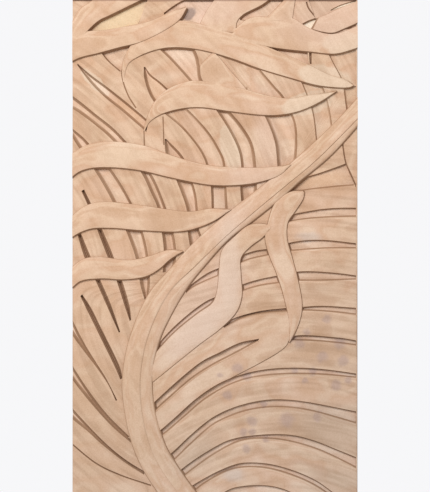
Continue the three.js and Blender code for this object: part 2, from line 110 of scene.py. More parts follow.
# Colours of the stone. The bedding noise changes fastest through the panel's depth, so that each level of
# the carving cuts into another layer. The streaks are arcs round three centres: one for the upper left,
# one for the lower left and one for the side below and right of the midrib.
BEDDING_STRETCH = (8.0, 420.0, 11.0)
BEDDING_BANDS = [
    (0.30, (0.590, 0.385, 0.255)),
    (0.41, (0.635, 0.430, 0.298)),
    (0.445, (0.700, 0.500, 0.358)),
    (0.50, (0.670, 0.465, 0.330)),
    (0.535, (0.625, 0.405, 0.272)),
    (0.60, (0.670, 0.455, 0.325)),
    (0.66, (0.725, 0.530, 0.392)),
]
STREAK_CENTRES = [(-0.6, 0, -0.1), (0.05, 0, -0.1), (0.15, 0, -0.75)]
ACROSS_MIDRIB = (0.77, 0.64)
BEYOND_MIDRIB = (-0.005, 0.012)
RIGHT_OF_MIDRIB = (-0.15, -0.11)
LOWER_LEFT = (-0.02, -0.12)
STREAK_FINENESS = 95.0
STREAK_LENGTHWISE = 7.0
STREAKS_ON_LEAVES = 0.35
STREAK_RANGE = (0.40, 0.66)
STREAK_TINT = (0.86, 0.835, 0.81, 1)
CLOUD_SCALE = 26.0
CLOUD_RANGE = (0.35, 0.70)
CLOUD_TINT = (0.94, 0.915, 0.88, 1)
GRAIN_SCALE = 420.0
GRAIN_RANGE = (0.30, 0.75)
GRAIN_TINT = (0.90, 0.88, 0.85, 1)
# Painted shade: the steeper a face turns away from the front, the more its colour is darkened towards brown
PAINTED_WALL_SHADE_FACING = (0.97, 0.76)
PAINTED_WALL_SHADE_TINT = (0.60, 0.52, 0.45, 1)
# Painted light: the slot floors are made brighter than the stone's own colour
PAINTED_FLOOR_LIGHT_TINT = (1.09, 1.13, 1.19, 1)
FLOOR_FADE = 0.5
# Painted shade: the deepest cuts are darkened towards brown
PAINTED_DEEP_SHADE_TINT = (0.42, 0.34, 0.28, 1)
PAINTED_DEEP_SHADE_FADE = (0.8, 0.3)
LOWER_RIGHT_TINT = (0.92, 0.965, 1.03, 1)
LOWER_RIGHT_LEAN = 0.6
LOWER_RIGHT_RANGE = (-0.15, 0.55)
PATCH_WANDER = 0.014
PATCH_WANDER_SCALE = 60.0
NOISE_MIDDLE = (0.5, 0.5, 0.5)
STONE_ROUGHNESS = 0.85
STONE_SPECULAR = 0.25
PIT_SCALE = 130.0
PIT_DEPTH = 0.0004
PIT_STRENGTH = 0.35

# Brown lines along the top edge and along the lower part of the right edge
EDGE_LINE_COLOUR = (0.24, 0.13, 0.09, 1)
EDGE_WANDER = 0.004
TOP_LINE = (PANEL_HEIGHT / 2 - 0.0048, PANEL_HEIGHT / 2 - 0.0028)
TOP_LINE_STRENGTH = 0.6
SIDE_LINE = (PANEL_WIDTH / 2, PANEL_WIDTH / 2 + 0.0012)
SIDE_LINE_HEIGHTS = (0.05, -0.10)
SIDE_LINE_STRENGTH = 0.45

# Purple-grey spots of the stone at the lower right, as (x, z, radius)
SPOTS = [
    (224, -140, 8), (183, -166, 7), (250, -190, 11), (170, -190, 10), (158, -180, 7), (215, -218, 10),
    (257, -225, 10), (160, -245, 6), (196, -246, 7), (182, -265, 6), (242, -273, 11), (268, -263, 7),
    (46, -239, 10), (10, -253, 6), (65, -256, 9), (25, -294, 8), (98, -311, 6), (75, -346, 9),
    (55, -367, 8), (73, -366, 7), (143, -343, 14), (205, -338, 9), (102, -381, 7), (62, -400, 8),
]

# Tinted areas: their colour, strength and softness, and their patches as patch_share takes them
CREAM_PATCHES = [
    (186, 291, 54, 22, 15), (222, 341, 56, 24, -12), (254, 411, 38, 24, 0), (30, 201, 18, 45, 15),
    (-240, 333, 35, 12, -45),
]
PINK_PATCHES = [
    (76, 145, 55, 22, 0), (104, 217, 20, 60, 10), (30, 47, 50, 22, 42), (-20, -110, 100, 50, 48),
    (0, 477, 60, 28, 0), (225, 457, 80, 50, 0),
]
ORANGE_PATCHES = [(-120, 323, 18, 32, 0), (-170, 273, 35, 14, -40), (214, 137, 45, 14, 10)]
GREY_BROWN_PATCHES = [(236, -363, 70, 50, -20), (-40, -413, 50, 30, 38), (240, -470, 60, 30, 0)]
PALE_PATCHES = [(28, -45, 22, 110, 0), (-40, -165, 90, 26, 40)]
BROWN_PATCHES = [(-240, -330, 130, 190, 0)]
GREY_PATCHES = [(38, -453, 20, 12, 0), (188, 23, 22, 9, 0)]
COLOUR_PATCHES = [
    ((0.715, 0.555, 0.420), 0.80, 0.12, CREAM_PATCHES),
    ((0.715, 0.545, 0.400), 0.50, 0.40, [(-186, 189, 50, 24, 0)]),
    ((0.700, 0.500, 0.390), 0.60, 0.60, PINK_PATCHES),
    ((0.715, 0.555, 0.450), 0.60, 0.50, PALE_PATCHES),
    ((0.590, 0.395, 0.260), 0.50, 0.60, BROWN_PATCHES),
    ((0.550, 0.415, 0.310), 0.45, 0.60, GREY_BROWN_PATCHES),
    ((0.600, 0.500, 0.440), 0.50, 0.60, GREY_PATCHES),
    ((0.46, 0.32, 0.27), 0.60, 0.50, [(x, z, radius, radius, 0) for x, z, radius in SPOTS]),
]

# The same on the floors of the slots alone
FLOOR_PATCHES = [
    ((0.660, 0.420, 0.265), 0.60, 0.50, ORANGE_PATCHES),
    ((0.860, 0.740, 0.600), 0.95, 0.30, [(186, 450, 30, 18, 15), (262, 489, 40, 12, 20)]),
    ((0.750, 0.580, 0.370), 0.75, 0.50, [(-186, 457, 60, 30, 25)]),
    ((0.330, 0.240, 0.205), 0.85, 0.25, [(-53, 470, 15, 12, 40)]),
]

# The camera looks square at the panel, and its picture is this tall at the carved face. The picture's
# middle lies a little above the panel's middle.
CAMERA_DISTANCE = 3.6
PICTURE_HEIGHT = 0.984
PICTURE_MIDDLE_Z = 0.005
SENSOR_HEIGHT = 24.0

# One large soft light from the upper left, an even warm surround, and a pale backdrop and floor
AMBIENT_COLOUR = (1.0, 0.97, 0.94)
AMBIENT_STRENGTH = 0.46
BACKDROP_COLOUR = (0.93, 0.93, 0.945)
FLOOR_SIZE = 3.0
FLOOR_Z = -1.3
KEY_PLACE = Vector((-1.1, -3.3, 1.9))
KEY_SIZE = (1.6, 1.4)
KEY_POWER = 138.0
KEY_COLOUR = (0.985, 0.985, 0.985)
FLOOR_COLOUR = (0.8, 0.8, 0.8)
FLOOR_ROUGHNESS = 0.9

# Each leaf and slot below runs along its two edges, given as (x, z) points that a smooth curve passes
# through, in millimetres. left and right are the edges as one walks along it from its first point.
#
# A leaf's from and to are the levels of its left and right edge at its two ends, rise is the share of its
# length over which it comes up out of the field, and feet is how far its two walls spread to their feet.
CROSSING_LEAVES = {
    "top_leaf_stem": {
        "left": [(-36, 433), (-30, 449), (-16, 477), (6, 507)],
        "right": [(42, 429), (44, 453), (56, 467), (94, 487), (118, 505)],
        "from": (0.0235, 0.024),
        "to": (0.024, 0.0265),
    },
    "top_right_stalk": {
        "left": [(94, 453), (134, 493), (146, 507)],
        "right": [(154, 453), (162, 507)],
        "from": (0.024, 0.024),
        "to": (0.023, 0.024),
    },
    "top_right_leaf": {
        "left": [(30, 426), (42, 441), (70, 461), (120, 463), (154, 461), (190, 440), (236, 429),
            (290, 447)],
        "right": [(30, 424), (70, 411), (120, 401), (190, 393), (240, 389), (270, 396), (290, 403)],
        "from": (0.024, 0.0245),
        "to": (0.0245, LEAF_LOWER),
    },
    "corner_leaf": {
        "left": [(204, 461), (220, 467), (250, 481), (294, 499)],
        "right": [(192, 439), (214, 433), (236, 431), (260, 440), (294, 455)],
        "from": (0.024, 0.026),
        "to": (0.024, 0.027),
    },
    "long_leaf": {
        "left": [(-184, 333), (-187, 357), (-182, 381), (-166, 409), (-130, 433), (-90, 453), (-54, 455),
            (-10, 443), (50, 425), (180, 371), (230, 347), (264, 337), (277, 328)],
        "right": [(-182, 333), (-179, 353), (-172, 370), (-150, 385), (-114, 398), (-80, 402), (-30, 397),
            (30, 381), (90, 359), (150, 341), (210, 325), (270, 322), (277, 326)],
        "rise": 0.16,
        "from": (0.0245, 0.0255),
        "to": (LEAF_UPPER, LEAF_LOWER),
    },
    "forked_leaf_upper": {
        "left": [(-298, 429), (-283, 459), (-270, 479), (-250, 493), (-230, 509)],
        "right": [(-298, 381), (-274, 413), (-234, 454), (-210, 466), (-126, 507)],
        "from": (0.024, 0.026),
        "to": (0.025, 0.0275),
    },
    "forked_leaf_lower": {
        "left": [(-298, 417), (-262, 433), (-220, 437), (-180, 444), (-130, 455), (-94, 471), (-58, 484)],
        "right": [(-298, 367), (-270, 381), (-234, 390), (-190, 402), (-150, 412), (-100, 436), (-70, 458),
            (-56, 481)],
        "from": (0.026, LEAF_LOWER),
        "to": (0.0245, 0.027),
    },
    "hooked_leaf": {
        "left": [(-143, 235), (-136, 263), (-120, 295), (-94, 319), (-50, 335), (-10, 333), (50, 321),
            (110, 305), (150, 300), (190, 307), (243, 316)],
        "right": [(-141, 235), (-130, 253), (-110, 267), (-70, 279), (-30, 282), (30, 274), (90, 267),
            (130, 267), (170, 275), (210, 293), (243, 314)],
        "rise": 0.14,
        "from": (0.0245, 0.026),
        "to": (LEAF_UPPER, LEAF_LOWER),
    },
    "upper_band": {
        "left": [(-302, 177), (-284, 192), (-250, 209), (-210, 214), (-142, 206), (-86, 186), (-20, 168),
            (50, 162), (124, 164), (151, 169)],
        "right": [(-302, 125), (-275, 151), (-250, 160), (-210, 162), (-150, 156), (-90, 142), (-10, 127),
            (50, 127), (94, 134), (130, 147), (152, 167)],
        "from": (LEAF_UPPER, LEAF_LOWER),
        "to": (0.0275, 0.0285),
    },
    "middle_band": {
        "left": [(-302, 49), (-283, 68), (-260, 85), (-230, 93), (-166, 89), (-50, 74), (-10, 80),
            (32, 79)],
        "right": [(-302, 5), (-283, 24), (-250, 39), (-210, 41), (-144, 36), (-70, 34), (-36, 41),
            (-4, 54), (32, 77)],
        "from": (LEAF_UPPER, LEAF_LOWER),
        "to": (0.0265, 0.028),
    },
    "lower_band": {
        "left": [(-302, -51), (-283, -34), (-261, -20), (-230, -17), (-170, -23), (-132, -15), (-90, -2),
            (-64, -4)],
        "right": [(-302, -93), (-283, -76), (-268, -65), (-230, -60), (-180, -62), (-136, -55),
            (-110, -40), (-90, -22), (-64, -6)],
        "from": (LEAF_UPPER, LEAF_LOWER),
        "to": (0.0265, 0.028),
    },
    "inner_curl": {
        "left": [(114, 41), (94, 21), (70, 3), (52, -19), (52, -53), (54, -93), (44, -125), (10, -161),
            (-30, -191), (-134, -275)],
        "right": [(114, 45), (94, 50), (68, 47), (38, 23), (14, -3), (8, -43), (4, -83), (-4, -107),
            (-36, -131), (-80, -167), (-114, -203), (-130, -223)],
        "from": (0.0265, 0.026),
        "to": (0.0245, 0.024),
        "feet": (0.006, 0.004),
    },
    "outer_curl": {
        "left": [(180, 114), (176, 99), (158, 71), (146, 53), (144, 21), (154, -17), (166, -63),
            (174, -109), (172, -135), (160, -169), (150, -187)],
        "right": [(178, 116), (150, 113), (120, 91), (106, 53), (100, 21), (108, -13), (124, -53),
            (138, -99), (148, -147), (148, -187)],
        "from": (0.026, 0.0265),
        "to": (0.0255, 0.0255),
        "feet": (0.006, 0.004),
    },
}

MIDRIB = {
    "left": [(-98, -513), (-146, -439), (-169, -383), (-183, -313), (-186, -265), (-178, -205),
        (-160, -146), (-131, -87), (-94, -44), (-48, 7), (0, 51), (58, 98), (148, 169), (236, 249),
        (298, 317)],
    "ridge": [(-58, -513), (-115, -430), (-139, -367), (-150, -293), (-146, -223), (-128, -157),
        (-92, -87), (-40, -35), (20, 23), (80, 75), (140, 125), (200, 175), (298, 273)],
    "right": [(-18, -513), (-73, -437), (-100, -390), (-121, -313), (-124, -249), (-110, -183),
        (-85, -129), (-55, -79), (-18, -33), (30, 19), (80, 57), (130, 97), (170, 133), (230, 183),
        (298, 257)],
}

LAPPED_LEAFLETS = {
    "forked_leaflet": {
        "left": [(-138, -279), (-70, -221), (10, -159), (50, -138), (94, -125), (148, -121)],
        "right": [(-126, -379), (-80, -339), (-40, -303), (0, -275), (34, -258), (140, -197), (150, -179)],
        "from": (0.0225, 0.0245),
        "to": (0.023, 0.0245),
    },
    "lapped_blade": {
        "left": [(8, 387), (26, 361), (50, 335), (70, 313)],
        "right": [(2, 397), (-14, 383), (-30, 365), (-34, 341), (-30, 321)],
        "from": (0.0235, 0.0235),
        "to": (0.0235, 0.0235),
    },
}

# A slot's lean is how far its left and right wall lean in, floor is its level at the two ends, roll is how
# wide the right-hand leaflet rolls off into it, and top is that leaflet's level where it isn't the field's.
SLOTS = {
    "fork_of_leaf": {
        "left": [(-258, 437), (-234, 457), (-190, 481), (-132, 503)],
        "right": [(-258, 429), (-220, 431), (-180, 437), (-154, 447)],
    },
    "under_top": {
        "left": [(-102, 471), (-86, 483), (-66, 495), (-40, 502), (10, 503)],
        "right": [(-102, 465), (-74, 447), (-30, 437), (0, 437)],
    },
    "under_top_leaf": {
        "left": [(50, 467), (70, 479), (94, 491), (114, 503)],
        "right": [(50, 457), (80, 455), (110, 459), (142, 503)],
    },
    "corner_hole": {
        "left": [(168, 445), (186, 455), (208, 463)],
        "right": [(168, 443), (182, 439), (198, 433)],
    },
    "corner_sliver": {
        "left": [(232, 479), (250, 488), (290, 500)],
        "right": [(232, 475), (290, 494)],
    },
    "beside_top_right_leaf": {
        "left": [(114, 405), (185, 397)],
        "right": [(114, 393), (150, 381), (187, 365)],
        "lean": (0.0005, 0.0005),
    },
    "small_sliver": {
        "left": [(193, 397), (193, 369)],
        "right": [(188, 397), (190, 369)],
    },
    "under_forked_leaf": {
        "left": [(-168, 405), (-176, 381), (-187, 355)],
        "right": [(-232, 397), (-214, 375), (-190, 354)],
        "lean": (0.0025, 0.0025),
    },
    "hook_hole": {
        "left": [(-140, 363), (-130, 349), (-110, 333), (-84, 309)],
        "right": [(-142, 363), (-141, 341), (-130, 307), (-116, 285)],
        "lean": (0.003, 0.006),
    },
    "left_frond1": {
        "left": [(-275, 369), (-250, 348), (-210, 318), (-138, 259), (-132, 253)],
        "right": [(-275, 367), (-250, 333), (-220, 303), (-190, 279), (-137, 233)],
        "lean": (0.0035, 0.0045),
    },
    "left_frond2": {
        "left": [(-302, 313), (-283, 303), (-237, 267), (-198, 235), (-128, 149), (-100, 85), (-84, 33),
            (-78, -15), (-84, -44)],
        "right": [(-302, 288), (-283, 279), (-234, 243), (-203, 215), (-148, 153), (-127, 110), (-115, 83),
            (-106, 33), (-102, -1), (-104, -48)],
        "lean": (0.0045, 0.006),
    },
    "left_frond3": {
        "left": [(-294, 246), (-264, 222), (-251, 208), (-208, 158), (-167, 91), (-145, 33), (-134, -17),
            (-131, -76), (-137, -104)],
        "right": [(-294, 240), (-278, 211), (-240, 156), (-204, 93), (-176, 32), (-158, -20), (-147, -80),
            (-139, -106)],
        "lean": (0.005, 0.007),
    },
    "left_frond4": {
        "left": [(-98, 219), (-66, 185), (-52, 157), (-44, 129), (-38, 105), (-35, 77), (-32, 37),
            (-24, 19)],
        "right": [(-100, 219), (-98, 191), (-77, 137), (-56, 77), (-54, 33), (-50, 5)],
        "lean": (0.004, 0.008),
    },
    "left_frond5": {
        "left": [(-70, 289), (-52, 275), (-10, 229), (6, 203), (18, 177), (22, 125), (25, 77)],
        "right": [(-114, 281), (-66, 241), (-28, 193), (-16, 165), (-8, 125), (-6, 77)],
        "lean": (0.0045, 0.004),
        "floor": (SHALLOW_FLOOR, SLOT_FLOOR),
    },
    "left_frond6": {
        "left": [(-46, 407), (-36, 387), (-31, 365), (-28, 341), (-6, 309), (32, 271), (54, 245),
            (74, 211), (82, 165), (83, 117), (78, 95)],
        "right": [(-118, 405), (-90, 379), (-22, 303), (4, 275), (46, 201), (53, 163), (51, 129),
            (53, 95)],
        "lean": (0.006, 0.005),
    },
    "left_frond7": {
        "left": [(80, 369), (120, 323), (136, 305), (154, 271), (162, 247), (164, 217), (162, 181),
            (158, 157)],
        "right": [(-6, 397), (10, 381), (86, 289), (102, 261), (120, 213), (126, 161)],
        "lean": (0.004, 0.008),
        "floor": (SHALLOW_FLOOR, SLOT_FLOOR),
    },
    "left_frond8": {
        "left": [(214, 327), (224, 299), (232, 261), (236, 229)],
        "right": [(172, 335), (194, 277), (202, 219), (203, 197)],
        "lean": (0.004, 0.0025),
        "floor": (SHALLOW_FLOOR, SHALLOW_FLOOR),
    },
    "left_frond9": {
        "left": [(292, 325), (292, 268)],
        "right": [(257, 325), (264, 268)],
        "lean": (0.001, 0.004),
        "floor": (SHALLOW_FLOOR, SHALLOW_FLOOR),
    },
    "left_edge1": {
        "left": [(-262, 118), (-248, 89), (-225, 35), (-204, -15), (-172, -113), (-168, -143)],
        "right": [(-267, 115), (-255, 89), (-215, -15), (-196, -65), (-182, -109), (-170, -145)],
        "lean": (0.004, 0.0035),
        "floor": (DEEP_FLOOR, DEEP_FLOOR),
    },
    "left_edge2": {
        "left": [(-281, 62), (-269, 31), (-229, -65), (-210, -109), (-190, -167)],
        "right": [(-286, 60), (-275, 29), (-260, -19), (-238, -65), (-192, -168)],
        "lean": (0.004, 0.0035),
        "floor": (DEEP_FLOOR, DEEP_FLOOR),
    },
    "left_edge3": {
        "left": [(-266, -92), (-249, -118), (-229, -158), (-190, -239), (-185, -259)],
        "right": [(-269, -95), (-198, -241), (-189, -262)],
        "lean": (0.003, 0.003),
        "floor": (DEEP_FLOOR, DEEP_FLOOR),
    },
    "left_edge4": {
        "left": [(-292, -131), (-261, -191), (-239, -227), (-221, -255), (-196, -303)],
        "right": [(-292, -161), (-283, -176), (-215, -269), (-198, -305)],
        "lean": (0.005, 0.006),
    },
    "left_edge5": {
        "left": [(-292, -225), (-249, -290), (-215, -333), (-172, -376)],
        "right": [(-292, -252), (-283, -265), (-246, -311), (-206, -355), (-168, -388)],
        "lean": (0.005, 0.005),
    },
    "left_edge6": {
        "left": [(-292, -312), (-283, -323), (-218, -391), (-179, -423), (-140, -447)],
        "right": [(-292, -332), (-283, -342), (-252, -367), (-231, -387), (-179, -428), (-142, -452)],
        "lean": (0.0045, 0.005),
    },
    "under_midrib": {
        "left": [(150, 132), (176, 141), (210, 151), (250, 165), (262, 170)],
        "right": [(138, 105), (170, 115), (250, 125), (278, 127)],
        "roll": 0.004,
    },
    "right_frond1": {
        "left": [(136, 58), (160, 69), (180, 73), (210, 78), (250, 81), (292, 81)],
        "right": [(136, 51), (164, 57), (210, 62), (292, 65)],
        "roll": 0.006,
    },
    "right_frond2": {
        "left": [(126, 5), (164, 14), (210, 17), (292, 9)],
        "right": [(126, -6), (230, 1), (292, 1)],
        "roll": 0.006,
    },
    "right_frond3": {
        "left": [(140, -50), (180, -46), (250, -50), (292, -56)],
        "right": [(140, -63), (200, -64), (292, -61)],
        "roll": 0.006,
    },
    "right_frond4": {
        "left": [(156, -120), (210, -115), (292, -120)],
        "right": [(156, -123), (200, -124), (240, -127), (292, -133)],
        "roll": 0.006,
    },
    "right_frond5": {
        "left": [(150, -177), (170, -174), (250, -179), (292, -186)],
        "right": [(150, -183), (190, -184), (250, -189), (292, -195)],
        "roll": 0.008,
    },
    "right_frond6": {
        "left": [(-126, -375), (-108, -363), (-80, -339), (-40, -303), (0, -275), (34, -259), (84, -245),
            (140, -239), (210, -241), (292, -252)],
        "right": [(-122, -385), (-100, -369), (-60, -335), (-20, -301), (40, -268), (100, -254),
            (194, -251), (292, -259)],
        "roll": 0.012,
    },
    "right_frond7": {
        "left": [(-100, -419), (-84, -407), (-50, -375), (-10, -342), (30, -321), (90, -305), (150, -303),
            (292, -328)],
        "right": [(-92, -433), (-40, -383), (0, -350), (60, -325), (120, -317), (180, -322), (292, -352)],
        "roll": 0.012,
    },
    "right_frond8": {
        "left": [(-86, -457), (-50, -429), (-10, -403), (30, -383), (90, -373), (150, -373), (194, -383),
            (250, -405), (292, -422)],
        "right": [(-76, -466), (-40, -438), (0, -410), (50, -385), (94, -380), (140, -384), (200, -400),
            (260, -427), (292, -444)],
        "roll": 0.012,
    },
    "right_frond9": {
        "left": [(-62, -485), (-30, -465), (10, -444), (50, -430), (100, -430), (150, -442), (200, -463),
            (232, -485), (256, -505)],
        "right": [(-52, -494), (-20, -469), (30, -443), (70, -437), (120, -443), (180, -464), (216, -484),
            (242, -505)],
        "roll": 0.012,
    },
    "right_frond10": {
        "left": [(8, -494), (34, -480), (70, -474), (110, -475), (146, -485), (168, -499)],
        "right": [(10, -500), (90, -506), (166, -503)],
        "roll": 0.002,
    },
    "leaflet_fork": {
        "left": [(-128, -315), (-116, -303), (-30, -229), (10, -208), (50, -189), (88, -181)],
        "right": [(-126, -329), (-46, -259), (-6, -233), (40, -209), (86, -184)],
        "roll": 0.004,
        "top": 0.0235,
    },
    "above_leaflet": {
        "left": [(14, -154), (34, -141), (90, -125), (154, -118)],
        "right": [(18, -158), (56, -138), (94, -129), (154, -124)],
        "roll": 0.003,
        "top": 0.0228,
    },
    "between_curls1": {
        "left": [(44, -17), (80, -5), (114, 0)],
        "right": [(44, -31), (70, -21), (116, -11)],
        "roll": 0.004,
    },
    "between_curls2": {
        "left": [(44, -76), (84, -63), (132, -53)],
        "right": [(44, -88), (86, -75), (136, -67)],
        "roll": 0.004,
    },
    "beside_midrib1": {
        "left": [(-58, -80), (-14, -49), (14, -37)],
        "right": [(-58, -88), (-44, -77), (-20, -65), (14, -51)],
        "roll": 0.004,
    },
    "beside_midrib2": {
        "left": [(-126, -207), (-110, -187), (-90, -165), (-50, -129), (-16, -105), (2, -97)],
        "right": [(-124, -219), (-110, -205), (-30, -135), (6, -108)],
    },
}

SHALLOW_RECESSES = {
    "top_left_corner": {
        "left": [(-288, 504), (-236, 504)],
        "right": [(-288, 452), (-240, 490)],
    },
    "top_right_corner": {
        "left": [(184, 504), (288, 504)],
        "right": [(206, 446), (220, 437), (288, 441)],
    },
    "right_of_long_leaf": {
        "left": [(290, 412), (290, 326)],
        "right": [(222, 400), (236, 371), (246, 353), (256, 333)],
    },
}

SHALLOW_GROOVES = {
    "left_of_hook": [(-187, 357), (-184, 335), (-173, 305), (-158, 281)],
    "below_hook1": [(-104, 264), (-102, 207)],
    "below_hook2": [(-142, 237), (-141, 200)],
}

GROOVES = {
    "corner_blade": [(183, 493), (187, 481), (201, 463)],
    "far_right_blade": [(254, 218), (262, 171), (272, 148), (286, 116)],
    "foot": [(-290, -388), (-236, -431), (-190, -453), (-128, -474)],
}


# Curves

def smooth_curve(points):
    """A dense centripetal Catmull-Rom curve through the points."""
    knots = [np.array(point) / MM_PER_METRE for point in points]
    knots = [2 * knots[0] - knots[1], *knots, 2 * knots[-1] - knots[-2]]
    pieces = []
    steps = np.linspace(0, 1, CURVE_STEPS, endpoint=False)[:, None]
    for before, start, end, after in zip(knots, knots[1:], knots[2:], knots[3:]):
        gap_before = math.sqrt(np.linalg.norm(start - before))
        gap = math.sqrt(np.linalg.norm(end - start))
        gap_after = math.sqrt(np.linalg.norm(after - end))
        slope = (end - start) / gap
        slope_start = (start - before) / gap_before - (end - before) / (gap_before + gap) + slope
        slope_end = slope - (after - start) / (gap + gap_after) + (after - end) / gap_after
        slope_start = slope_start * gap
        slope_end = slope_end * gap
        cubic = 2 * start - 2 * end + slope_start + slope_end
        square = -3 * start + 3 * end - 2 * slope_start - slope_end
        pieces.append(start + slope_start * steps + square * steps**2 + cubic * steps**3)
    return np.vstack([*pieces, knots[-2][None]])


def curve_length(points):
    return np.linalg.norm(np.diff(smooth_curve(points), axis=0), axis=1).sum()


def spaced_points(points, steps):
    """The curve cut into equal steps by length."""
    dense = smooth_curve(points)
    travelled = np.concatenate([[0], np.cumsum(np.linalg.norm(np.diff(dense, axis=0), axis=1))])
    wanted = np.linspace(0, travelled[-1], steps + 1)
    return np.stack([np.interp(wanted, travelled, dense[:, axis]) for axis in (0, 1)], axis=1)


def mix(a, b, share):
    return a + (b - a) * share


# Solids

def solid_object(name, rings):
    """A closed mesh lofted through rings of (x, level, z) points, with flat ends."""
    count = len(rings[0])
    points = [(x, -level, z) for ring in rings for x, level, z in ring]
    faces = []
    for start in range(0, (len(rings) - 1) * count, count):
        for side in range(count):
            here = start + side
            beside = start + (side + 1) % count
            faces.append((here, beside, beside + count, here + count))
    last = (len(rings) - 1) * count
    faces.append(tuple(range(count - 1, -1, -1)))
    faces.append(tuple(range(last, last + count)))
    return object_from(name, points, faces)


def object_from(name, points, faces):
    mesh = bpy.data.meshes.new(name)
    mesh.from_pydata(points, [], faces)
    turn_outwards(mesh)
    solid = bpy.data.objects.new(name, mesh)
    bpy.context.scene.collection.objects.link(solid)
    return solid


def turn_outwards(mesh):
    """Flips a closed mesh whose faces point inwards."""
    mesh.calc_loop_triangles()
    corners = np.array([[mesh.vertices[i].co for i in tri.vertices] for tri in mesh.loop_triangles])
    volume = np.einsum("ij,ij->i", corners[:, 0], np.cross(corners[:, 1], corners[:, 2])).sum()
    if volume < 0:
        mesh.flip_normals()


def ribbon_object(name, shape, section):
    """A solid along two edges. section gives rows of (side, offset, level): side runs from 0 at the left
    edge to 1 at the right edge, and offset moves a point outwards to the left."""
    length = max(curve_length(shape["left"]), curve_length(shape["right"]))
    steps = max(4, math.ceil(length / SECTION_SPACING))
    left = spaced_points(shape["left"], steps)
    right = spaced_points(shape["right"], steps)
    along = np.gradient(left + right, axis=0)
    along /= np.linalg.norm(along, axis=1)[:, None]
    across = np.stack([-along[:, 1], along[:, 0]], axis=1)
    rings = []
    for index in range(steps + 1):
        width = np.linalg.norm(left[index] - right[index])
        ring = []
        for side, offset, level in section(index / steps, width):
            x, z = mix(left[index], right[index], side) + across[index] * offset
            ring.append((x, level, z))
        rings.append(ring)
    return solid_object(name, rings)


def hand_wave(x, z):
    """The slight unevenness that hand rubbing leaves in a flat face."""
    return HAND_WAVE * noise.noise(Vector((x * WAVE_SCALE, 0.0, z * WAVE_SCALE)))


def box_object(name, width, low_level, high_level, height):
    x = width / 2
    z = height / 2
    outline = [(-x, -z), (x, -z), (x, z), (-x, z)]
    return solid_object(name, [[(px, level, pz) for px, pz in outline] for level in (low_level, high_level)])


# Parts of the carving

def leaf_object(name, leaf):
    """A raised leaf with buried sides, rounded edges and a tilted, slightly crowned top."""
    rise = leaf.get("rise", NO_RISE)
    foot_left, foot_right = leaf.get("feet", LEAF_FEET)

    def section(along, width):
        lift = min(1, along / rise)
        left_level = mix(FIELD_LEVEL, mix(leaf["from"][0], leaf["to"][0], along), lift)
        right_level = mix(FIELD_LEVEL, mix(leaf["from"][1], leaf["to"][1], along), lift)
        arris = min(ARRIS, width / 4)
        angles = [math.pi / 2 * step / ARRIS_STEPS for step in range(ARRIS_STEPS + 1)]
        worn = [(arris * (1 - math.cos(angle)), arris * (1 - math.sin(angle))) for angle in angles]
        rows = [(0, foot_left * lift, BURIED_LEVEL)]
        rows += [(0, -inward, left_level - down) for inward, down in worn]
        for sample in range(1, LEAF_SAMPLES):
            side = sample / LEAF_SAMPLES
            crown = lift * LEAF_CROWN * 4 * side * (1 - side)
            rows.append((side, 0, mix(left_level, right_level, side) + crown))
        rows += [(1, inward, right_level - down) for inward, down in reversed(worn)]
        return [*rows, (1, -foot_right * lift, BURIED_LEVEL)]

    return ribbon_object(name, leaf, section)


def slot_object(name, slot):
    """The cutter of a slot: rounded arrises, leaning walls, hollowed corners and a flat floor."""
    lean_left, lean_right = slot.get("lean", (WALL_LEAN, WALL_LEAN))
    floor_start, floor_end = slot.get("floor", (SLOT_FLOOR, SLOT_FLOOR))
    roll = slot.get("roll", 0)
    top = slot.get("top", FIELD_LEVEL)
    shoulder = SLOT_SHOULDER if roll else 0

    def section(along, width):
        fit = min(1, MOST_WALL_SHARE * width / (lean_left + lean_right))
        floor = mix(floor_start, floor_end, along)
        bend = mix(top, floor, WALL_BEND)
        left = lean_left * fit
        right = lean_right * fit
        brink = [
            (ARRIS, ABOVE_ALL), (ARRIS, top + ARRIS * ARRIS_LIP),
            (ARRIS * ARRIS_LIP, top - ARRIS * ARRIS_DIP), (0, top - ARRIS),
        ]
        rows = [(0, offset, level) for offset, level in brink]
        rows += [(0, -left * WALL_BEND, bend), (0, -left * WALL_REACH, floor)]
        rows += [(1, right * WALL_REACH, floor), (1, right * WALL_BEND, bend)]
        if not roll:
            return rows + [(1, -offset, level) for offset, level in reversed(brink)]
        rows.append((1, 0, top - shoulder - ARRIS / 2))
        rows += [(1, -roll * share, top - shoulder * (1 - share) ** 2) for share in ROLL_SHARES]
        return [*rows, (1, -roll, top + HAND_WAVE), (1, -roll, ABOVE_ALL)]

    return ribbon_object(name, slot, section)


def groove_object(name, line, floor):
    """The cutter of a narrow groove along one line, with its edges worn round."""
    half = GROOVE_WIDTH / 2
    brim = FIELD_LEVEL + HAND_WAVE
    shoulder = mix(FIELD_LEVEL, floor, 0.5)

    def section(_along, _width):
        return [
            (0, half, ABOVE_ALL), (0, half, brim), (0, half * GROOVE_SHOULDER, shoulder), (0, 0, floor),
            (0, -half * GROOVE_SHOULDER, shoulder), (0, -half, brim), (0, -half, ABOVE_ALL),
        ]

    return ribbon_object(name, {"left": line, "right": line}, section)


